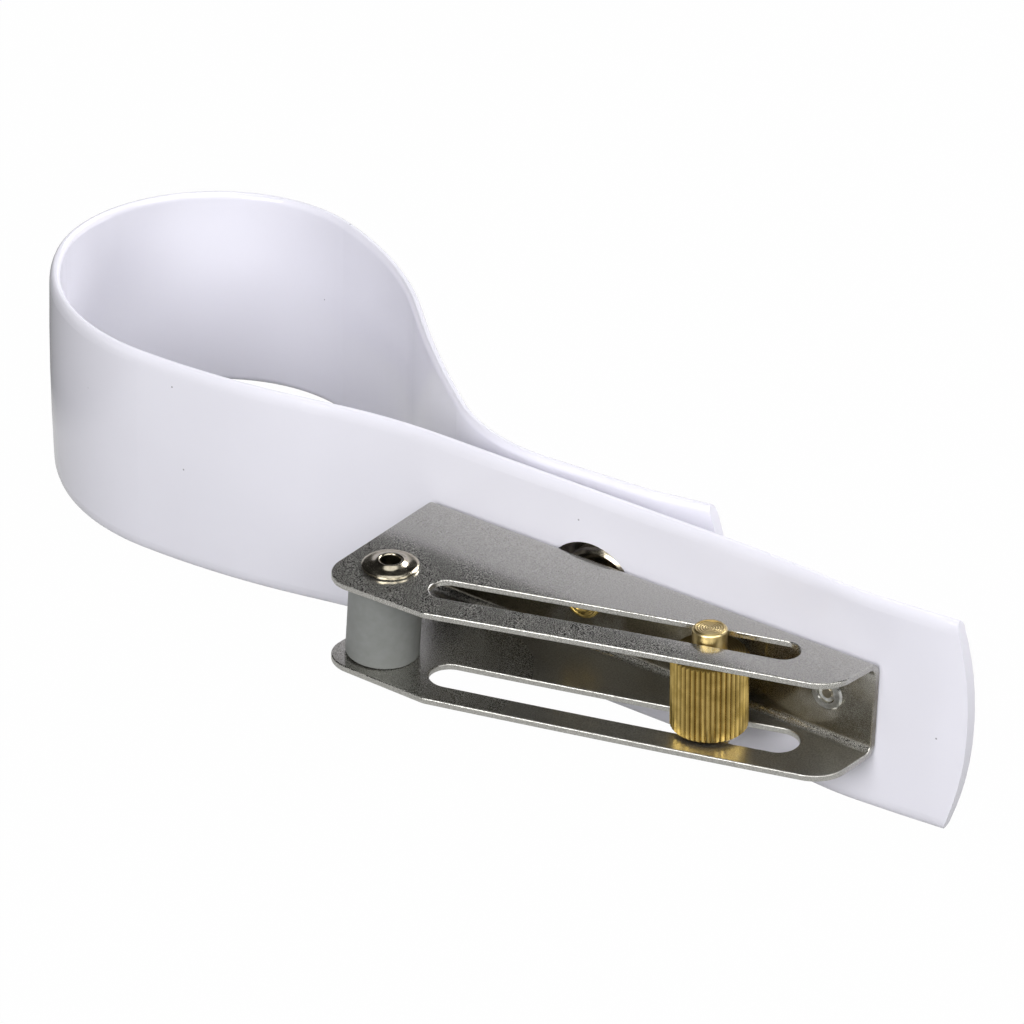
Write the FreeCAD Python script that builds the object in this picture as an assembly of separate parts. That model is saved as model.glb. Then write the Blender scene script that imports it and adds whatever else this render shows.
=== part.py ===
import FreeCAD, Part
import math
import os
from FreeCAD import Vector

os.makedirs("parts", exist_ok=True)

# A hanger for a fender line; all sizes in millimetres, all angles in degrees.
# Everything is drawn from the channel's web: X from its left end to its free end,
# Y zero on its back face and positive to the rear leg, Z zero at its mid height.
# On saving, the part is moved so that the middle of its footprint, at the strap's
# lower edge, is the origin.

# Strap, bent round the rail
STRAP_WIDTH = 41.3
STRAP_MIDDLE = 0.75
STRAP_CROWN = 2.4
SHOULDER = 2.1
SHOULDER_HEIGHT = 2.3
EDGE_NEAR = 0.7
EDGE_FAR = 1.1
INNER_BEVEL = 1.3
END_BULGE = 3.55
RAIL_R = 29.11
RAIL_TURN = -136.5
# its inner face from the front tip round the rail to the rear tip:
# the place and heading it starts with, then the length and turn of each run
RUN_START = (111.17, 3.139)
RUN_HEADING = -173.6
RUNS = (
    (21.22, -3.5),
    (6.6, -7.7),
    (21.0, 4.8),
    (62.5, 0.0),
    (23.4, 12.6),
    (5.6, 0.0),
    (35.0, -12.85),
    (47.8, -62.85),
    (RAIL_R * math.radians(-RAIL_TURN), RAIL_TURN),
    (38.3, -25.9),
    (38.85, 7.7),
    (27.0, 41.2),
    (18.6, 0.0),
    (5.0, 7.5),
    (12.6, 0.0),
)
# the channel holds the first runs' crown in its own plane, so there the edges curl forward
CURLED_RUNS = 3
WEB_GAP = 0.02
CURL_EASE = 1.12

# Channel bracket folded from sheet; its flanges open slightly towards the free end
SHEET = 1.2
WEB_LENGTH = 94.0
WEB_HEIGHT = 18.95
BEND = 2.7
FLANGE_OUTLINE = (
    (0.0, -1.0),
    (-0.75, 34.4),
    (22.3, 34.2),
    (WEB_LENGTH - 1.5, 12.9),
    (WEB_LENGTH, -1.0),
)
FLANGE_CORNERS = (0.0, 6.0, 3.5, 7.0, 0.0)
SPLAY_LEFT = -1.1
SPLAY_PER_MM = 0.028
DEBURR = 0.25

# Slots for the knurled roller, the lower one wider
SLOT_WIDE = (21.3, 25.1)
SLOT_INSET = 15.3
SLOT_NARROW = (WEB_LENGTH - SLOT_INSET, 7.45)
TOP_SLOT = 6.4
TOP_SLOT_LONGER = 0.45
LOWER_SLOT = 7.8
LOWER_SLOT_LONGER = -0.45

# Knurled roller
ROLLER_X = 66.7
KNURL_R = 6.85
KNURL_TEETH = 43
KNURL_DEPTH = 0.36
KNURL_PLAY = 1.7
KNURL_LENGTH = WEB_HEIGHT - 2 * SHEET - KNURL_PLAY
KNURL_CHAMFER = 0.25
TOP_JOURNAL_R = 3.08
LOWER_JOURNAL_R = 3.8
TOP_JOURNAL = 4.7
LOWER_JOURNAL = 3.0
JOURNAL_CHAMFER = 0.4
GROOVE_R = 2.45
GROOVE = 0.12
# it leans along its slots, its top to the wide end, and slides just over the lower flange
ROLLER_LEAN = 1.8
ROLLER_LIFT = 0.065

# Tubular rivet and the roller loose on it
RIVET_AT = (8.05, 24.65)
RIVET_R = 2.6
RIVET_BORE_R = 1.88
RIVET_HEAD_R = 5.1
RIVET_HEAD = 0.4
# its head's crown, from the rim to the bore: radius, then height over the flange
RIVET_CROWN = (
    (RIVET_HEAD_R, RIVET_HEAD),
    (4.85, 0.56),
    (3.9, 0.72),
    (2.95, 1.0),
    (2.5, 1.28),
    (2.2, 1.35),
    (1.95, 1.24),
    (RIVET_BORE_R, 1.0),
)
SPACER_R = 6.61
SPACER_BORE_R = 4.1
SPACER_PLAY = 2.05
SPACER_LENGTH = WEB_HEIGHT - 2 * SHEET - SPACER_PLAY
# it hangs loose to one side: how far its middle is from the rivet, which way, and its lean
SPACER_OFF = 1.14
SPACER_SIDE = 249.5
SPACER_LEAN = 2.88
SPACER_LEANS_TO = 9.2
SPACER_CHAMFER = 0.1

# Pop rivets that hold the channel on the strap
POP_INSET = 9.4
POP_X = (POP_INSET, WEB_LENGTH - POP_INSET)
POP_Z = 0.35
POP_R = 1.6
POP_FLANGE_R = 3.175
POP_FLANGE = 0.8
POP_BORE_R = 0.95
POP_MOUTH_R = 1.85
POP_MOUTH = 0.55
MANDREL_SINK = 0.3
WASHER_R = 4.2
WASHER = 0.8
POP_TAIL_R = 2.6
POP_TAIL = 1.3

# Snap fastener: stud on the web's back, socket and cap on the rear leg
SNAP_X = 33.3
SNAP_Z = 1.0
SNAP_HOLE_R = 9.85
SNAP_HOLE_AT = (33.9, 1.5)
EYELET_R = 3.85
EYELET_BORE_R = 1.7
EYELET_POST_R = 2.4
# its rolled rim, from the outside to the bore: radius, then height over the web
EYELET_ROLL = (
    (EYELET_R, 0.25),
    (3.8, 0.6),
    (3.45, 0.88),
    (3.05, 0.8),
    (2.8, 0.5),
    (2.3, 0.28),
    (EYELET_BORE_R, 0.2),
)
STUD_BASE_R = 5.6
STUD_BASE = 0.8
STUD_NECK_R = 2.9
STUD_HEAD_R = 3.25
STUD_HEIGHT = 3.6
SOCKET_R = 7.7
SOCKET_HEIGHT = 3.3
SOCKET_BORE_R = 3.7
SOCKET_FLANGE_R = 10.4
SOCKET_FLANGE = 0.4
CAP_R = 7.7
CAP_HEIGHT = 2.2
CAP_POST_R = 2.2

# Tiny gap between pieces that must turn or slide
CLEAR = 0.05


def run_points():
    """The start point, end point, start heading and turn of every run of the strap."""
    x, y = RUN_START
    heading = math.radians(RUN_HEADING)
    runs = []
    for length, turn_degrees in RUNS:
        turn = math.radians(turn_degrees)
        if turn == 0.0:
            end = (x + length * math.cos(heading), y + length * math.sin(heading))
        else:
            radius = length / turn
            end = (
                x + radius * (math.sin(heading + turn) - math.sin(heading)),
                y - radius * (math.cos(heading + turn) - math.cos(heading)),
            )
        runs.append(((x, y), end, heading, length, turn))
        x, y = end
        heading += turn
    return runs


def along_run(run, part):
    """A point at the given part, 0 to 1, of a run."""
    (x, y), end, heading, length, turn = run
    if turn == 0.0:
        return Vector(x + part * length * math.cos(heading), y + part * length * math.sin(heading), 0)
    radius = length / turn
    return Vector(
        x + radius * (math.sin(heading + part * turn) - math.sin(heading)),
        y - radius * (math.cos(heading + part * turn) - math.cos(heading)),
        0,
    )


def run_centre(run):
    """The centre of a run's arc."""
    (x, y), end, heading, length, turn = run
    radius = length / turn
    return Vector(x - radius * math.sin(heading), y + radius * math.cos(heading), 0)


RUN_LIST = run_points()


def splay(x):
    """How far the flanges lean outward at a place along the web, in radians."""
    return math.radians(SPLAY_LEFT + SPLAY_PER_MM * x)


def flange_inside(x, depth):
    """Height of the top flange's inner face above the web's middle."""
    return WEB_HEIGHT / 2 - SHEET / math.cos(splay(x)) + depth * math.tan(splay(x))


def resting(rim):
    """The lift that brings a rim's points (x, depth, height) just over the lower flange."""
    return max(-flange_inside(x, depth) - height for x, depth, height in rim) + CLEAR


def leaning_rim(radius, x, depth, height, lean, heading):
    """Points (x, depth, height) round the lower rim of a roller that leans to a heading."""
    points = []
    for i in range(72):
        angle = math.radians(5 * i)
        along = radius * math.cos(angle)
        across = radius * math.sin(angle)
        reach = along * math.cos(lean) + height * math.sin(lean)
        points.append((
            x + reach * math.cos(heading) - across * math.sin(heading),
            depth - reach * math.sin(heading) - across * math.cos(heading),
            height * math.cos(lean) - along * math.sin(lean),
        ))
    return points


def lean_to(shape, degrees, heading):
    """Leans an upright piece, its top to a heading in radians."""
    shape.rotate(Vector(0, 0, 0), Vector(-math.sin(heading), math.cos(heading), 0), degrees)


def cylinder(radius, length, x, y, z, axis=Vector(0, 0, 1)):
    """A cylinder that starts at a point and runs along an axis."""
    return Part.makeCylinder(radius, length, Vector(x, y, z), axis)


def turned(outline, smooth=()):
    """A solid of revolution about Z from points (radius, height), the last side a smooth curve."""
    points = [Vector(radius, 0, height) for radius, height in outline]
    curve = [Vector(radius, 0, height) for radius, height in smooth]
    if curve:
        line = Part.BSplineCurve()
        line.interpolate(curve)
        sides = Part.makePolygon([curve[-1]] + points + [curve[0]]).Edges
        wire = Part.Wire(sides + [line.toShape()])
    else:
        wire = Part.makePolygon(points + [points[0]])
    return Part.Face(wire).revolve(Vector(0, 0, 0), Vector(0, 0, 1), 360)


def facing(shape, x, z, y=0.0, degrees=0.0):
    """Turns a solid drawn along Z so that it points along +Y, swung about Z, and places it."""
    shape.rotate(Vector(0, 0, 0), Vector(1, 0, 0), -90)
    shape.rotate(Vector(0, 0, 0), Vector(0, 0, 1), degrees)
    shape.translate(Vector(x, y, z))
    return shape


def joined(shapes):
    """One solid from overlapping solids."""
    whole = shapes[0]
    for shape in shapes[1:]:
        whole = whole.fuse(shape)
    return whole.removeSplitter()


def save(name, shape, home):
    """Moves a piece home and writes it."""
    shape = shape.copy()
    shape.translate(home)
    print(name, "valid", shape.isValid(), "solids", len(shape.Solids), "mm3", round(shape.Volume, 1))
    shape.exportStep("parts/" + name + ".step")


def curl(point):
    """How far the strap's edges stand forward, so that its crown only just clears the web."""
    return max(0.0, STRAP_CROWN + WEB_GAP - point.y) * CURL_EASE


def strap_section(point, heading, curled):
    """The strap's cross-section, flat inside, crowned outside and thin at both edges."""
    outward = Vector(-math.sin(heading), math.cos(heading), 0)
    half = STRAP_WIDTH / 2

    def at(thickness, height):
        sink = curled * (1 - (height / half) ** 2)
        return point + outward * (thickness - sink) + Vector(0, 0, STRAP_MIDDLE + height)

    def shoulder(side):
        """The rounded shoulder, from the crown's end to the edge, tangent to the crown."""
        slope = 2 * (STRAP_CROWN - SHOULDER) / outer
        ease = 0.55 * SHOULDER_HEIGHT
        curve = Part.BezierCurve()
        curve.setPoles([
            at(SHOULDER, side * outer),
            at(SHOULDER - slope * ease, side * (outer + ease)),
            at(SHOULDER - 0.45 * (SHOULDER - EDGE_FAR), side * half),
            at(EDGE_FAR, side * half),
        ])
        return curve

    outer = half - SHOULDER_HEIGHT
    inner = half - INNER_BEVEL
    inner_bow = (EDGE_NEAR * 0.36, half - INNER_BEVEL * 0.34)
    if curled > 0:
        edges = [Part.Arc(at(0, -inner), at(0, 0), at(0, inner))]
    else:
        edges = [Part.LineSegment(at(0, -inner), at(0, inner))]
    edges.append(Part.Arc(at(0, inner), at(*inner_bow), at(EDGE_NEAR, half)))
    edges.append(Part.LineSegment(at(EDGE_NEAR, half), at(EDGE_FAR, half)))
    edges.append(shoulder(1))
    edges.append(Part.Arc(at(SHOULDER, outer), at(STRAP_CROWN, 0), at(SHOULDER, -outer)))
    edges.append(shoulder(-1))
    edges.append(Part.LineSegment(at(EDGE_FAR, -half), at(EDGE_NEAR, -half)))
    edges.append(Part.Arc(at(EDGE_NEAR, -half), at(inner_bow[0], -inner_bow[1]), at(0, -inner)))
    return Part.Wire([edge.toShape() for edge in edges])


def strap_path(runs):
    """The line of the strap's inner face."""
    edges = []
    for run in runs:
        first, middle, last = (along_run(run, part) for part in (0.0, 0.5, 1.0))
        if run[4] == 0.0:
            edges.append(Part.LineSegment(first, last).toShape())
        else:
            edges.append(Part.Arc(first, middle, last).toShape())
    return Part.Wire(edges)


def front_tail():
    """The strap from its front tip to where it lies flat on the channel."""
    sections = []
    for run in RUN_LIST[:CURLED_RUNS]:
        steps = max(2, round(run[3] / 3.5))
        for step in range(steps):
            point = along_run(run, step / steps)
            sections.append(strap_section(point, run[2] + run[4] * step / steps, curl(point)))
    last = RUN_LIST[CURLED_RUNS]
    sections.append(strap_section(along_run(last, 0.0), last[2], 0.0))
    return Part.makeLoft(sections, True, False)


def through_strap(radius, x, z, y=0.0):
    """A cutter along Y that passes through one leg only."""
    return cylinder(radius, 3.2 * STRAP_CROWN, x, y - 1.6 * STRAP_CROWN, z, Vector(0, 1, 0))


def end_trimmer(tip):
    """The waste beyond a leg's convex end."""
    half = STRAP_WIDTH / 2
    radius = (half * half + END_BULGE * END_BULGE) / (2 * END_BULGE)
    corner = Vector(tip[0] - END_BULGE, tip[1] - 1.6 * STRAP_CROWN, STRAP_MIDDLE - 1.1 * half)
    block = Part.makeBox(2 * END_BULGE, 3.2 * STRAP_CROWN, 2.2 * half, corner)
    return block.cut(through_strap(radius, tip[0] - radius, STRAP_MIDDLE, tip[1]))


def strap():
    held = RUN_LIST[CURLED_RUNS]
    section = strap_section(along_run(held, 0.0), held[2], 0.0)
    bent = strap_path(RUN_LIST[CURLED_RUNS:]).makePipeShell([section], True, True)
    body = bent.fuse(front_tail())
    body = body.cut(end_trimmer(RUN_START))
    body = body.cut(end_trimmer(RUN_LIST[-1][1]))
    for x in POP_X:
        body = body.cut(through_strap(POP_R + CLEAR, x, POP_Z))
    body = body.cut(through_strap(SNAP_HOLE_R, *SNAP_HOLE_AT))
    x, y, swing = snap_on_rear_leg()
    post_hole = cylinder(CAP_POST_R + CLEAR, 3 * STRAP_CROWN, 0, 0, -STRAP_CROWN)
    return body.cut(facing(post_hole, x, SNAP_Z, y, swing))


def rail_run():
    """Which run goes round the rail: the one that turns furthest."""
    return min(range(len(RUNS)), key=lambda i: RUNS[i][1])


def snap_on_rear_leg():
    """Where the snap's axis meets the rear leg's inner face, and the leg's swing there."""
    best = None
    for run in RUN_LIST[rail_run() + 1:]:
        for step in range(101):
            point = along_run(run, step / 100)
            miss = abs(point.x - SNAP_X)
            if best is None or miss < best[0]:
                heading = run[2] + run[4] * step / 100
                best = (miss, point, heading)
    swing = math.degrees(math.atan2(math.sin(best[2]), math.cos(best[2])))
    return best[1].x, best[1].y, swing


def channel_section(x):
    """The channel's cross-section at a place along the web, flanges left long."""
    lean = splay(x)
    reach = 1.3 * FLANGE_OUTLINE[1][1]
    setback = BEND * math.tan((math.pi / 2 - lean) / 2)
    half_points = []
    for side in (1, -1):
        centre = Vector(x, -BEND, side * (WEB_HEIGHT / 2 - setback))
        flange_out = Vector(0, math.sin(lean), side * math.cos(lean))
        along = Vector(0, -math.cos(lean), side * math.sin(lean))
        bend_middle = (Vector(0, 1, 0) + flange_out).normalize()
        half_points.append((centre, flange_out, along, bend_middle))
    inner = BEND - SHEET
    (top, top_out, top_along, top_mid), (low, low_out, low_along, low_mid) = half_points
    web = Vector(0, 1, 0)
    top_tip = top + top_along * reach
    low_tip = low + low_along * reach
    edges = [
        Part.LineSegment(low + web * BEND, top + web * BEND),
        Part.Arc(top + web * BEND, top + top_mid * BEND, top + top_out * BEND),
        Part.LineSegment(top + top_out * BEND, top_tip + top_out * BEND),
        Part.LineSegment(top_tip + top_out * BEND, top_tip + top_out * inner),
        Part.LineSegment(top_tip + top_out * inner, top + top_out * inner),
        Part.Arc(top + top_out * inner, top + top_mid * inner, top + web * inner),
        Part.LineSegment(top + web * inner, low + web * inner),
        Part.Arc(low + web * inner, low + low_mid * inner, low + low_out * inner),
        Part.LineSegment(low + low_out * inner, low_tip + low_out * inner),
        Part.LineSegment(low_tip + low_out * inner, low_tip + low_out * BEND),
        Part.LineSegment(low_tip + low_out * BEND, low + low_out * BEND),
        Part.Arc(low + low_out * BEND, low + low_mid * BEND, low + web * BEND),
    ]
    return Part.Wire([edge.toShape() for edge in edges])


def rounded_outline(corners, radii):
    """A closed outline in plan through corners (x, depth), each rounded by its radius."""
    count = len(corners)
    spots = [Vector(x, -depth, 0) for x, depth in corners]
    edges = []
    trims = []
    for i in range(count):
        before = (spots[i - 1] - spots[i]).normalize()
        after = (spots[(i + 1) % count] - spots[i]).normalize()
        if radii[i] == 0.0:
            trims.append((spots[i], None, spots[i]))
            continue
        half_angle = before.getAngle(after) / 2
        trim = radii[i] / math.tan(half_angle)
        inward = (before + after).normalize()
        centre = spots[i] + inward * (radii[i] / math.sin(half_angle))
        trims.append((spots[i] + before * trim, centre - inward * radii[i], spots[i] + after * trim))
    for i in range(count):
        first, middle, last = trims[i]
        if middle is not None:
            edges.append(Part.Arc(first, middle, last).toShape())
        edges.append(Part.LineSegment(last, trims[(i + 1) % count][0]).toShape())
    return Part.Wire(edges)


def slot_cutter(width, longer, low_z, high_z):
    """A round-ended slot along the roller's way."""
    (x1, depth1), (x2, depth2) = SLOT_WIDE, SLOT_NARROW
    start = Vector(x1, -depth1, low_z)
    end = Vector(x2, -depth2, low_z)
    along = (end - start).normalize()
    start = start - along * longer
    across = Vector(-along.y, along.x, 0) * (width / 2)
    ahead = along * (width / 2)
    edges = [
        Part.LineSegment(start + across, end + across),
        Part.Arc(end + across, end + ahead, end - across),
        Part.LineSegment(end - across, start - across),
        Part.Arc(start - across, start - ahead, start + across),
    ]
    face = Part.Face(Part.Wire([edge.toShape() for edge in edges]))
    return face.extrude(Vector(0, 0, high_z - low_z))


def rim_edges(sheet):
    """The long edges round the flanges, the slots and the web's ends."""
    found = []
    for edge in sheet.Edges:
        box = edge.BoundBox
        middle = edge.valueAt((edge.FirstParameter + edge.LastParameter) / 2)
        on_flange = box.ZLength < 0.12 * WEB_HEIGHT and box.YMax < -1.08 * BEND
        at_end = not 0.01 * WEB_LENGTH < middle.x < 0.985 * WEB_LENGTH and box.YMin > -1.02 * BEND
        if (on_flange and edge.Length > 1.3 * SHEET) or (at_end and edge.Length > 1.3 * SHEET):
            found.append(edge)
    return found


def bracket():
    spare = 3 * BEND
    sections = [channel_section(-spare), channel_section(WEB_LENGTH + spare)]
    blank = Part.makeLoft(sections, True, True)
    outline = Part.Face(rounded_outline(FLANGE_OUTLINE, FLANGE_CORNERS))
    outline.translate(Vector(0, 0, -WEB_HEIGHT))
    sheet = blank.common(outline.extrude(Vector(0, 0, 2 * WEB_HEIGHT)))
    sheet = sheet.cut(slot_cutter(TOP_SLOT, TOP_SLOT_LONGER, WEB_HEIGHT / 4, WEB_HEIGHT))
    sheet = sheet.cut(slot_cutter(LOWER_SLOT, LOWER_SLOT_LONGER, -WEB_HEIGHT, -WEB_HEIGHT / 4))
    sheet = sheet.cut(cylinder(RIVET_R + CLEAR, 2 * WEB_HEIGHT, RIVET_AT[0], -RIVET_AT[1], -WEB_HEIGHT))
    for x in POP_X:
        sheet = sheet.cut(cylinder(POP_R, 6, x, -4, POP_Z, Vector(0, 1, 0)))
    sheet = sheet.cut(cylinder(EYELET_POST_R, 6, SNAP_X, -4, SNAP_Z, Vector(0, 1, 0)))
    return sheet.makeFillet(DEBURR, rim_edges(sheet))


def brass_roller():
    low, high = -KNURL_LENGTH / 2, KNURL_LENGTH / 2
    teeth = []
    for i in range(KNURL_TEETH * 2):
        angle = math.pi * i / KNURL_TEETH
        radius = KNURL_R - (KNURL_DEPTH if i % 2 else 0.0)
        teeth.append(Vector(radius * math.cos(angle), radius * math.sin(angle), low))
    teeth.append(teeth[0])
    knurl = Part.Face(Part.makePolygon(teeth)).extrude(Vector(0, 0, KNURL_LENGTH))
    core = KNURL_R - KNURL_DEPTH
    barrel = turned((
        (0, low),
        (core - KNURL_CHAMFER, low),
        (KNURL_R, low + KNURL_CHAMFER + KNURL_DEPTH),
        (KNURL_R, high - KNURL_CHAMFER - KNURL_DEPTH),
        (core - KNURL_CHAMFER, high),
        (0, high),
    ))
    tip = high + TOP_JOURNAL
    upper = turned((
        (0, high - 1),
        (TOP_JOURNAL_R, high - 1),
        (TOP_JOURNAL_R, tip - JOURNAL_CHAMFER),
        (TOP_JOURNAL_R - JOURNAL_CHAMFER, tip),
        (GROOVE_R, tip),
        (GROOVE_R, tip - GROOVE),
        (0, tip - GROOVE),
    ))
    foot = low - LOWER_JOURNAL
    lower = turned((
        (0, low + 1),
        (LOWER_JOURNAL_R, low + 1),
        (LOWER_JOURNAL_R, foot + JOURNAL_CHAMFER),
        (LOWER_JOURNAL_R - JOURNAL_CHAMFER, foot),
        (0, foot),
    ))
    roller = joined([knurl.common(barrel), upper, lower])
    (x1, depth1), (x2, depth2) = SLOT_WIDE, SLOT_NARROW
    depth = depth1 + (ROLLER_X - x1) * (depth2 - depth1) / (x2 - x1)
    heading = math.atan2(depth2 - depth1, x1 - x2)
    lean = math.radians(ROLLER_LEAN)
    rim = leaning_rim(core, ROLLER_X, depth, low, lean, heading)
    lean_to(roller, ROLLER_LEAN, heading)
    roller.translate(Vector(ROLLER_X, -depth, resting(rim) + ROLLER_LIFT))
    return roller


def roller_rivet():
    x, depth = RIVET_AT
    widest = splay(x + RIVET_HEAD_R)
    narrowest = depth - RIVET_HEAD_R if widest < 0 else depth + RIVET_HEAD_R
    seat = WEB_HEIGHT / 2 + narrowest * math.tan(widest) + CLEAR
    head = seat + RIVET_HEAD
    crown = [(radius, seat + height) for radius, height in RIVET_CROWN]
    rivet = turned((
        (RIVET_BORE_R, -head),
        (RIVET_HEAD_R - 0.3, -head),
        (RIVET_HEAD_R, -head + 0.3),
        (RIVET_HEAD_R, -seat),
        (RIVET_R, -seat),
        (RIVET_R, seat),
        (RIVET_HEAD_R, seat),
    ), crown)
    rivet.translate(Vector(x, -depth, 0))
    return rivet


def spacer_roller():
    x, depth = RIVET_AT
    low = -SPACER_LENGTH / 2
    high = SPACER_LENGTH / 2
    roller = turned((
        (SPACER_BORE_R, low),
        (SPACER_R - SPACER_CHAMFER, low),
        (SPACER_R, low + SPACER_CHAMFER),
        (SPACER_R, high - SPACER_CHAMFER),
        (SPACER_R - SPACER_CHAMFER, high),
        (SPACER_BORE_R, high),
    ))
    side = math.radians(SPACER_SIDE)
    heading = math.radians(SPACER_LEANS_TO)
    x = x + SPACER_OFF * math.cos(side)
    depth = depth - SPACER_OFF * math.sin(side)
    rim = leaning_rim(SPACER_R, x, depth, low, math.radians(SPACER_LEAN), heading)
    lean_to(roller, SPACER_LEAN, heading)
    roller.translate(Vector(x, -depth, resting(rim)))
    return roller


def pop_stack(x):
    """How far back the strap's inner face lies under a pop rivet's washer."""
    front_leg = RUN_LIST[:rail_run() - 1]
    points = [along_run(run, step / 100) for run in front_leg for step in range(101)]
    return max(point.y + curl(point) for point in points if abs(point.x - x) < WASHER_R)


def web_rivets():
    rivets = []
    for x in POP_X:
        back = pop_stack(x) + WASHER
        face = -SHEET - POP_FLANGE
        rivet = turned((
            (POP_BORE_R, face + POP_MOUTH),
            (POP_MOUTH_R - 0.2, face + POP_MOUTH - 0.1),
            (POP_MOUTH_R, face),
            (POP_FLANGE_R - 0.35, face),
            (POP_FLANGE_R, face + 0.3),
            (POP_FLANGE_R, -SHEET),
            (POP_R, -SHEET),
            (POP_R, back),
            (POP_TAIL_R, back),
            (POP_TAIL_R, back + POP_TAIL * 0.6),
            (POP_R + 0.2, back + POP_TAIL),
            (POP_BORE_R, back + POP_TAIL),
        ))
        rivets.append(facing(rivet, x, POP_Z))
    return Part.makeCompound(rivets)


def web_rivet_mandrels():
    stems = []
    for x in POP_X:
        back = pop_stack(x) + WASHER + POP_TAIL
        stem = turned((
            (0, -SHEET - POP_FLANGE + MANDREL_SINK),
            (POP_BORE_R, -SHEET - POP_FLANGE + MANDREL_SINK),
            (POP_BORE_R, back),
            (POP_BORE_R + 0.45, back),
            (POP_BORE_R + 0.2, back + 0.5),
            (0, back + 0.6),
        ))
        stems.append(facing(stem, x, POP_Z))
    return Part.makeCompound(stems)


def web_rivet_washers():
    washers = []
    for x in POP_X:
        back = pop_stack(x)
        ring = cylinder(WASHER_R, WASHER, 0, 0, back).cut(cylinder(POP_R, WASHER, 0, 0, back))
        washers.append(facing(ring, x, POP_Z))
    return Part.makeCompound(washers)


def snap_eyelet():
    roll = [(radius, -SHEET - height) for radius, height in reversed(EYELET_ROLL)]
    eyelet = turned((
        (EYELET_R, -SHEET),
        (EYELET_POST_R, -SHEET),
        (EYELET_POST_R, STUD_BASE),
        (EYELET_BORE_R, STUD_BASE),
    ), roll)
    return facing(eyelet, SNAP_X, SNAP_Z)


def snap_stud():
    stud = turned((
        (EYELET_POST_R, 0),
        (STUD_BASE_R, 0),
        (STUD_BASE_R, STUD_BASE * 0.6),
        (STUD_BASE_R - 0.3, STUD_BASE),
        (STUD_NECK_R, STUD_BASE),
        (STUD_NECK_R, STUD_BASE + 0.6),
        (STUD_HEAD_R, STUD_HEIGHT - 0.9),
        (STUD_HEAD_R - 0.8, STUD_HEIGHT),
        (0, STUD_HEIGHT),
        (0, STUD_HEIGHT - 0.6),
        (EYELET_POST_R, STUD_HEIGHT - 1.4),
    ))
    return facing(stud, SNAP_X, SNAP_Z)


def snap_socket():
    x, y, swing = snap_on_rear_leg()
    socket = turned((
        (CAP_POST_R, 0),
        (SOCKET_FLANGE_R, 0),
        (SOCKET_FLANGE_R, -SOCKET_FLANGE),
        (SOCKET_R, -SOCKET_FLANGE),
        (SOCKET_R, -SOCKET_HEIGHT + 0.9),
        (SOCKET_R - 0.25, -SOCKET_HEIGHT + 0.35),
        (SOCKET_R - 0.8, -SOCKET_HEIGHT),
        (SOCKET_BORE_R + 0.5, -SOCKET_HEIGHT),
        (SOCKET_BORE_R, -SOCKET_HEIGHT + 0.4),
        (SOCKET_BORE_R, -0.7),
        (CAP_POST_R, -0.7),
    ))
    return facing(socket, x, SNAP_Z, y, swing)


def snap_cap():
    x, y, swing = snap_on_rear_leg()
    skin = STRAP_CROWN + 2 * CLEAR
    cap = turned((
        (0, -1.0),
        (CAP_POST_R - 0.4, -1.3),
        (CAP_POST_R, -1.0),
        (CAP_POST_R, skin),
        (CAP_R - 0.5, skin),
        (CAP_R, skin + 0.5),
        (CAP_R - 0.7, skin + 1.3),
        (CAP_R * 0.62, skin + CAP_HEIGHT - 0.3),
        (0, skin + CAP_HEIGHT),
    ))
    return facing(cap, x, SNAP_Z, y, swing)


PIECES = (
    strap,
    bracket,
    brass_roller,
    roller_rivet,
    spacer_roller,
    web_rivets,
    web_rivet_mandrels,
    web_rivet_washers,
    snap_eyelet,
    snap_stud,
    snap_socket,
    snap_cap,
)

shapes = {piece.__name__: piece() for piece in PIECES}
room = FreeCAD.BoundBox()
for shape in shapes.values():
    room.add(shape.optimalBoundingBox(False, False))
home = Vector(-room.Center.x, -room.Center.y, -room.ZMin)
for name, shape in shapes.items():
    save(name, shape, home)
print("home", home, "rail axis", run_centre(RUN_LIST[rail_run()]) + home)
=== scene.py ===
import math

import bpy
from mathutils import Matrix, Vector

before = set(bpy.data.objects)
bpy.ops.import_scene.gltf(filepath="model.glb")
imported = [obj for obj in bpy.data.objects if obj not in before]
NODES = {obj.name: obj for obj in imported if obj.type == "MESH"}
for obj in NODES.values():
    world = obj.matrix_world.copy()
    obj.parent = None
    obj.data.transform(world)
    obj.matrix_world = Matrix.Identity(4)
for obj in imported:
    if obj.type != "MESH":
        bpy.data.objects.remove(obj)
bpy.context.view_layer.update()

MM = 0.001


# Small helpers

def mm(*lengths):
    """Lengths in mm as Blender's metres."""
    return [length * MM for length in lengths]


def scale(step):
    """The scale at which a pattern's step is that many mm."""
    return 1 / (step * MM)


def linear(hex_colour):
    """An sRGB hex colour as the linear colour that Blender works in."""
    channels = [int(hex_colour[i:i + 2], 16) / 255 for i in (1, 3, 5)]
    return [c / 12.92 if c <= 0.04045 else ((c + 0.055) / 1.055) ** 2.4 for c in channels] + [1.0]


# What nodes of different kinds are often set to
SPAN_SOCKETS = ("From Min", "From Max", "To Min", "To Max")
MULTIPLY = {"operation": "MULTIPLY"}
OF_COLOURS = {"data_type": "RGBA"}


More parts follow.
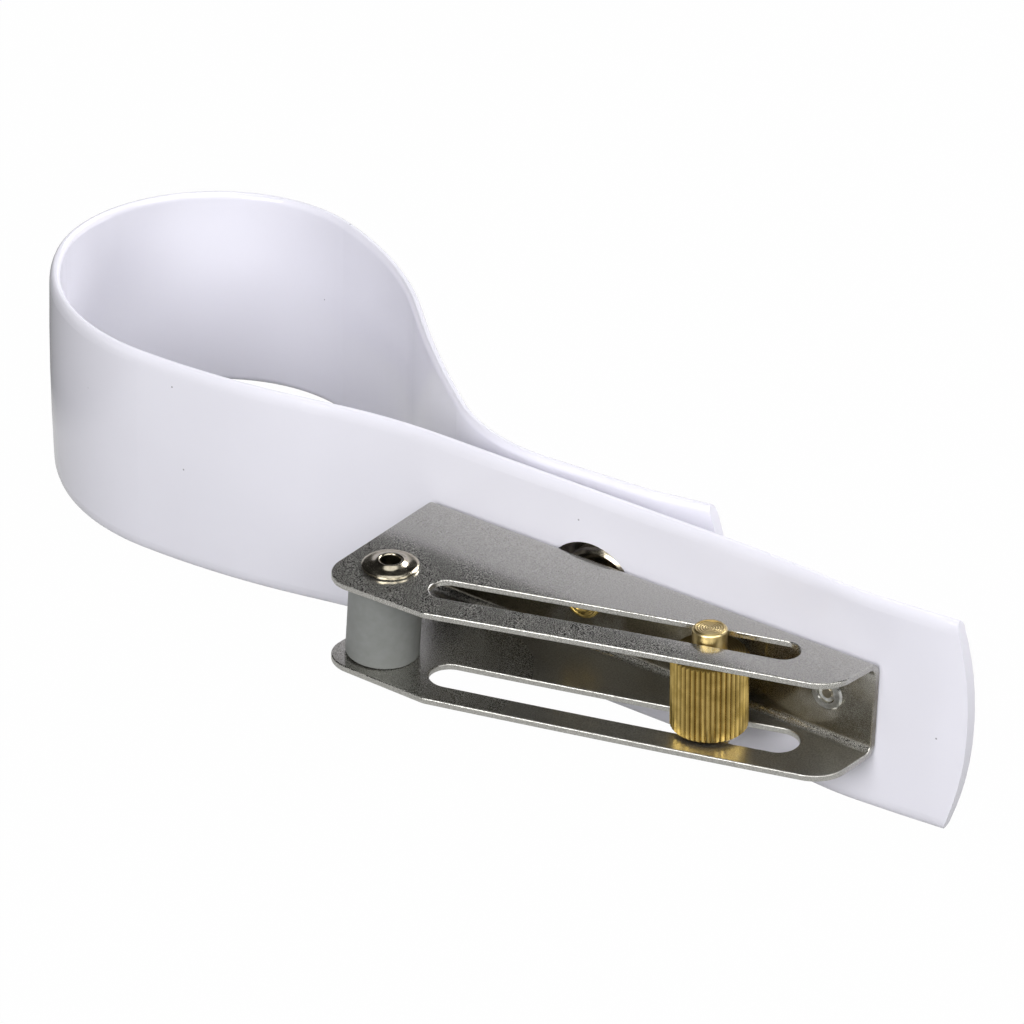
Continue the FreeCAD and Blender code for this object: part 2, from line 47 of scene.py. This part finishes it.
def add(tree, kind, inputs=None, settings=None, stops=(), span=()):
    """Adds one node. An input takes a node, one of its sockets, a hex colour or a plain value.

    The stops are a colour ramp's places and colours, and the span is what a range is mapped from and to.
    """
    node = tree.nodes.new("ShaderNode" + kind)
    for name, value in (settings or {}).items():
        setattr(node, name, value)
    for name, value in [*(inputs or {}).items(), *zip(SPAN_SOCKETS, span)]:
        if isinstance(value, bpy.types.Node):
            value = next(socket for socket in value.outputs if socket.enabled)
        if isinstance(value, bpy.types.NodeSocket):
            tree.links.new(value, node.inputs[name])
        else:
            node.inputs[name].default_value = linear(value) if isinstance(value, str) else value
    for index, (position, colour) in enumerate(stops):
        node.color_ramp.elements[index].position = position
        node.color_ramp.elements[index].color = linear(colour)
    return node


def new_material(name):
    """An empty material, its tree of nodes, and the object's own coordinates there."""
    material = bpy.data.materials.new(name)
    material.use_nodes = True
    tree = material.node_tree
    tree.nodes.clear()
    return material, tree, add(tree, "TexCoord").outputs["Object"]


# Materials

def white_vinyl():
    """Extruded white vinyl: faintly lavender, smooth and soft-glossy, with a few dark specks."""
    material, tree, place = new_material("white_vinyl_extruded")
    clouds = add(tree, "TexNoise", {"Vector": place, "Scale": scale(38), "Detail": 2.0})
    clean = add(tree, "ValToRGB", {"Fac": clouds}, stops=[(0.35, "#E1E0E9"), (0.65, "#E5E4ED")])
    # one point in each cell of about 7 mm, which shows as a speck where it lies at the surface
    cells = add(tree, "TexVoronoi", {"Vector": place, "Scale": scale(7)})
    speck = add(tree, "MapRange", {"Value": cells}, span=(0.018, 0.032, 1.0, 0.0))
    colour = add(tree, "Mix", {"Factor": speck, "A": clean, "B": "#8F8D94"}, OF_COLOURS)
    # the faint waves that the die leaves
    waves = add(tree, "TexNoise", {"Vector": place, "Scale": scale(5), "Detail": 1.0})
    normal = add(tree, "Bump", {"Height": waves, "Distance": 0.008 * MM, "Strength": 1.0})
    surface = add(tree, "BsdfPrincipled", {
        "Base Color": colour, "Roughness": 0.12, "IOR": 1.5, "Normal": normal})
    add(tree, "OutputMaterial", {"Surface": surface})
    return material


# Heights on the channel: the web under the upper flange has painted shade with a brown tarnish between
# these two soft edges, and the line dulls the lower flange up to the third
SHADE_AND_TARNISH_FLOOR = mm(11.9, 13.0)
SHADE_AND_TARNISH_ROOF = mm(25.0, 27.8)
DULLED_TO = mm(11.6, 12.2)


def tumbled_steel():
    """Stainless sheet, deburred in a tumbler: finely pitted, so that dull specks lie in a satin sheen."""
    material, tree, place = new_material("stainless_sheet_tumbled")
    # the tumbler's marks, drawn a little coarse so that they show
    grain = add(tree, "TexNoise", {"Vector": place, "Scale": scale(0.27), "Detail": 2.0, "Roughness": 0.6})
    clean = add(tree, "ValToRGB", {"Fac": grain}, stops=[(0.32, "#A5A39E"), (0.68, "#C8C7C1")])
    height = add(tree, "SeparateXYZ", {"Vector": place}).outputs["Z"]
    # painted shade: the web under the upper flange is darkened and browned, in blotches that also stand for
    # tarnish
    above_floor = add(tree, "MapRange", {"Value": height}, span=SHADE_AND_TARNISH_FLOOR)
    below_roof = add(tree, "MapRange", {"Value": height}, span=(*SHADE_AND_TARNISH_ROOF, 1.0, 0.0))
    shade_and_tarnish_band = add(tree, "Math", {0: above_floor, 1: below_roof}, MULTIPLY)
    blotches = add(tree, "TexNoise", {"Vector": place, "Scale": scale(12), "Detail": 4.0})
    strength = add(tree, "MapRange", {"Value": blotches}, span=(0.35, 0.55, 0.55, 1.0))
    tarnish = add(tree, "Math", {0: shade_and_tarnish_band, 1: strength}, MULTIPLY)
    colour = add(tree, "Mix", {"Factor": tarnish, "A": clean, "B": "#968E7A"},
                 {"data_type": "RGBA", "blend_type": "MULTIPLY"})
    # pits finer than the eye can part, which dull the sheen
    pits = add(tree, "TexNoise", {"Vector": place, "Scale": scale(0.12), "Detail": 0.0})
    polish = add(tree, "MapRange", {"Value": height}, span=(*DULLED_TO, 0.29, 0.17))
    roughness = add(tree, "MapRange", {"Value": pits}, span=(0.52, 0.62, polish, 0.6))
    normal = add(tree, "Bump", {"Height": grain, "Distance": 0.02 * MM, "Strength": 0.08})
    surface = add(tree, "BsdfPrincipled", {
        "Base Color": colour, "Metallic": 1.0, "Roughness": roughness, "Normal": normal})
    add(tree, "OutputMaterial", {"Surface": surface})
    return material


# The brass roller: the middle of its top, its lean in radians, and from the bottom of the knurl's
# grooves to near the top of its ridges
ROLLER_TOP = mm(64.59, -25.78, 31.36)
ROLLER_LEAN = (0.0092, -0.03, 0.0)
KNURL_RADII = mm(6.50, 6.76)
# Heights from that top: the upper journal's foot, and where its turned end begins
JOURNAL_FOOT = mm(-4.8, -4.6)
TURNED_END = mm(-0.4, -0.2)
# The step of the turned rings, coarser than real ones so that they show
RING_STEP = 0.45 * MM
# The step that the wave texture's rings have at scale 1
WAVE_STEP = 0.3142


def turned_brass():
    """Free-cutting brass off the lathe: pale journals with fine rings and a painted reflection, a knurl
    with painted shade in its grooves.

    The snap's eyelet lies lower and further out, where the brass is plain.
    """
    material, tree, place = new_material("brass_turned")
    about_axis = add(tree, "Mapping", {"Vector": place, "Location": ROLLER_TOP, "Rotation": ROLLER_LEAN},
                     {"vector_type": "TEXTURE"})
    along = add(tree, "SeparateXYZ", {"Vector": about_axis}).outputs["Z"]
    across = add(tree, "VectorMath", {0: about_axis, 1: (1.0, 1.0, 0.0)}, MULTIPLY)
    radius = add(tree, "VectorMath", {0: across}, {"operation": "LENGTH"})
    tarnish = add(tree, "TexNoise", {"Vector": place, "Scale": scale(2.5), "Detail": 3.0})
    ridges = add(tree, "ValToRGB", {"Fac": tarnish}, stops=[(0.35, "#B49A56"), (0.65, "#D2B770")])
    # painted shade in the knurl's grooves, darkest at their bottom
    painted_groove_shade = add(tree, "MapRange", {"Value": radius}, span=(*KNURL_RADII, 0.8, 0.0))
    knurled = add(tree, "Mix", {"Factor": painted_groove_shade, "A": ridges, "B": "#75602F"}, OF_COLOURS)
    rings = add(tree, "TexWave", {"Vector": about_axis, "Scale": WAVE_STEP / RING_STEP, "Distortion": 0.4},
                {"wave_type": "RINGS", "rings_direction": "Z"}).outputs["Fac"]
    # the journals are paler turned brass with coloured rings, lightened further as a painted reflection
    turned = add(tree, "ValToRGB", {"Fac": rings}, stops=[(0.1, "#B9A26A"), (0.6, "#E0CC98")])
    journal = add(tree, "MapRange", {"Value": along}, span=JOURNAL_FOOT)
    colour = add(tree, "Mix", {"Factor": journal, "A": knurled, "B": turned}, OF_COLOURS)
    roughness = add(tree, "MapRange", {"Value": journal}, span=(0.0, 1.0, 0.26, 0.34))
    on_end = add(tree, "MapRange", {"Value": along}, span=TURNED_END)
    cuts = add(tree, "Math", {0: rings, 1: on_end}, MULTIPLY)
    normal = add(tree, "Bump", {"Height": cuts, "Distance": 0.06 * MM, "Strength": 1.0})
    surface = add(tree, "BsdfPrincipled", {
        "Base Color": colour, "Metallic": 1.0, "Roughness": roughness, "Normal": normal})
    add(tree, "OutputMaterial", {"Surface": surface})
    return material


def nickel_plated_steel():
    """Nickel-plated steel, stamped and bright, with faint handling marks."""
    material, tree, place = new_material("steel_nickel_plated")
    marks = add(tree, "TexNoise", {"Vector": place, "Scale": scale(1.2), "Detail": 3.0})
    colour = add(tree, "ValToRGB", {"Fac": marks}, stops=[(0.3, "#A09886"), (0.7, "#C2BAA8")])
    roughness = add(tree, "MapRange", {"Value": marks}, span=(0.3, 0.7, 0.16, 0.24))
    surface = add(tree, "BsdfPrincipled", {"Base Color": colour, "Metallic": 1.0, "Roughness": roughness})
    add(tree, "OutputMaterial", {"Surface": surface})
    return material


def zinc_plated_steel():
    """Zinc-plated steel as pop rivets have it: cool grey, satin, with small dents from the tool."""
    material, tree, place = new_material("steel_zinc_plated")
    dents = add(tree, "TexNoise", {"Vector": place, "Scale": scale(0.7), "Detail": 3.0})
    colour = add(tree, "ValToRGB", {"Fac": dents}, stops=[(0.35, "#A9A9A5"), (0.65, "#C6C6C2")])
    normal = add(tree, "Bump", {"Height": dents, "Distance": 0.03 * MM, "Strength": 0.5})
    surface = add(tree, "BsdfPrincipled", {
        "Base Color": colour, "Metallic": 1.0, "Roughness": 0.2, "Normal": normal})
    add(tree, "OutputMaterial", {"Surface": surface})
    return material


def grey_nylon():
    """Moulded grey nylon: matte, faintly cool, with a soft mottle and the mould's fine texture."""
    material, tree, place = new_material("nylon_grey_moulded")
    mottle = add(tree, "TexNoise", {"Vector": place, "Scale": scale(1.5), "Detail": 3.0})
    colour = add(tree, "ValToRGB", {"Fac": mottle}, stops=[(0.3, "#797B78"), (0.7, "#808280")])
    texture = add(tree, "TexNoise", {"Vector": place, "Scale": scale(0.4), "Detail": 3.0})
    normal = add(tree, "Bump", {"Height": texture, "Distance": 0.015 * MM, "Strength": 1.0})
    surface = add(tree, "BsdfPrincipled", {
        "Base Color": colour, "Roughness": 0.5, "IOR": 1.53, "Normal": normal})
    add(tree, "OutputMaterial", {"Surface": surface})
    return material


def dress_pieces():
    """Gives each piece the finish of what it is made of."""
    for finish, pieces in (
        (white_vinyl, ["strap"]),
        (tumbled_steel, ["bracket"]),
        (grey_nylon, ["spacer_roller"]),
        (turned_brass, ["brass_roller", "snap_eyelet"]),
        (zinc_plated_steel, ["web_rivets"]),
        (nickel_plated_steel, ["roller_rivet", "web_rivet_mandrels", "web_rivet_washers",
                               "snap_stud", "snap_socket", "snap_cap"]),
    ):
        material = finish()
        for piece in pieces:
            for slot in NODES[piece].material_slots:
                slot.material = material


# Studio

WHITE = "#FFFFFF"
FLOOR_SIDE = 6.0
FLOOR_COLOUR = "#8E8E8E"
FLOOR_SHADE = "#7C7C7C"
# How much of the floor is plain white: to the eye, and in what reflects it
WHITE_TO_EYE = 0.992
WHITE_IN_GLOSS = 0.55
# Left of the loop the floor has a painted shadow and gives little back: where that ends, in m across
SHADE_EDGE = (-0.128, -0.112)

# The room that gloss shows: dark in front, dim behind, and white up to a soft edge near the floor
ROOM_FRONT = "#0C0C0C"
ROOM_BACK = "#303030"
ROOM_DEPTH = (-0.7, 0.7)
WHITE_UP_TO = (0.05, 0.16)
SOFT_LIGHT = 0.1

# Each lamp's place and side in m, and its watts
LIT_POINT = (0.0, 0.0, 0.02)
LAMPS = {
    "lamp_front": ((0.1, -1.25, 0.66), 0.7, 12.0),
    "lamp_front_right": ((0.85, -0.85, 0.9), 0.7, 7.9),
    "lamp_right": ((1.25, -0.1, 0.8), 0.7, 6.3),
    "lamp_back": ((0.2, 1.2, 0.8), 0.7, 17.3),
    "lamp_top": ((0.0, 0.0, 1.5), 1.0, 4.8),
}


def ray_share(tree, to_eye, in_gloss):
    """One share where the eye sees a surface, another in gloss and clear plastic, nought for its light."""
    path = add(tree, "LightPath").outputs
    reflected = add(tree, "Math", {0: path["Is Glossy Ray"], 1: path["Is Transmission Ray"]},
                    {"operation": "MAXIMUM"})
    gloss_share = add(tree, "Math", {0: reflected, 1: in_gloss}, MULTIPLY)
    return add(tree, "Math", {0: path["Is Camera Ray"], 1: to_eye, 2: gloss_share},
               {"operation": "MULTIPLY_ADD"})


def studio_floor():
    """A plain white floor under the strap's lower edge, which keeps a faint shadow and has a painted shadow
    left of the loop.
    """
    bpy.ops.mesh.primitive_plane_add(size=FLOOR_SIDE, location=(0, 0, 0))
    floor = bpy.context.object
    floor.name = "floor"
    material, tree, place = new_material("floor_paper_white")
    across = add(tree, "SeparateXYZ", {"Vector": place}).outputs["X"]
    # painted shadow left of the loop: darker paper, and less white in gloss
    out_of_painted_shadow = add(tree, "MapRange", {"Value": across}, span=SHADE_EDGE)
    colour = add(tree, "ValToRGB", {"Fac": out_of_painted_shadow}, stops=[(0.0, FLOOR_SHADE), (1.0, FLOOR_COLOUR)])
    paper = add(tree, "BsdfPrincipled", {"Base Color": colour, "Roughness": 0.9, "Specular IOR Level": 0.0})
    white = add(tree, "Emission", {"Color": WHITE, "Strength": 1.0})
    in_gloss = add(tree, "Math", {0: out_of_painted_shadow, 1: WHITE_IN_GLOSS}, MULTIPLY)
    surface = add(tree, "MixShader", {0: ray_share(tree, WHITE_TO_EYE, in_gloss), 1: paper, 2: white})
    add(tree, "OutputMaterial", {"Surface": surface})
    floor.data.materials.append(material)


def studio_world():
    """Soft light all round; what metal and the eye see is white low down and dim overhead."""
    world = bpy.data.worlds.new("studio")
    bpy.context.scene.world = world
    world.use_nodes = True
    tree = world.node_tree
    tree.nodes.clear()
    direction = add(tree, "SeparateXYZ", {"Vector": add(tree, "TexCoord").outputs["Generated"]}).outputs
    depth = add(tree, "MapRange", {"Value": direction["Y"]}, span=ROOM_DEPTH)
    room = add(tree, "ValToRGB", {"Fac": depth}, stops=[(0.0, ROOM_FRONT), (1.0, ROOM_BACK)])
    near_floor = add(tree, "MapRange", {"Value": direction["Z"]}, span=(*WHITE_UP_TO, 1.0, 0.0))
    walls = add(tree, "Mix", {"Factor": near_floor, "A": room, "B": WHITE}, OF_COLOURS)
    light = add(tree, "Background", {"Color": WHITE, "Strength": SOFT_LIGHT})
    backdrop = add(tree, "Background", {"Color": walls, "Strength": 1.0})
    surface = add(tree, "MixShader", {0: ray_share(tree, 1.0, 1.0), 1: light, 2: backdrop})
    add(tree, "OutputWorld", {"Surface": surface})


def studio_lamps():
    """Square lamps turned to the object, which the camera doesn't see."""
    for name, (place, side, watts) in LAMPS.items():
        lamp = bpy.data.lights.new(name, "AREA")
        lamp.shape = "SQUARE"
        lamp.size = side
        lamp.energy = watts
        box = bpy.data.objects.new(name, lamp)
        bpy.context.scene.collection.objects.link(box)
        box.location = place
        box.rotation_euler = (Vector(LIT_POINT) - Vector(place)).to_track_quat("-Z", "Y").to_euler()
        box.visible_camera = False


# The photograph's view: where the lens is in m, its turn, tilt and roll in degrees, and its length in mm
CAMERA_PLACE = (0.459826, -0.650328, 0.465498)
CAMERA_TURN = 34.99
CAMERA_TILT = 29.19
CAMERA_ROLL = 1.30
CAMERA_LENS = 175.78
CAMERA_SENSOR = 36.0


def studio_camera():
    """The camera at the photograph's view."""
    data = bpy.data.cameras.new("camera")
    data.sensor_width = CAMERA_SENSOR
    data.lens = CAMERA_LENS
    data.clip_start = 0.01
    eye = bpy.data.objects.new("camera", data)
    bpy.context.scene.collection.objects.link(eye)
    turn = Matrix.Rotation(math.radians(CAMERA_TURN), 4, "Z")
    tilt = Matrix.Rotation(math.radians(90 - CAMERA_TILT), 4, "X")
    roll = Matrix.Rotation(math.radians(CAMERA_ROLL), 4, "Z")
    eye.matrix_world = Matrix.Translation(CAMERA_PLACE) @ turn @ tilt @ roll
    bpy.context.scene.camera = eye


bpy.ops.object.select_all(action="DESELECT")
bpy.context.scene.view_settings.view_transform = "Standard"
dress_pieces()
studio_floor()
studio_world()
studio_lamps()
studio_camera()
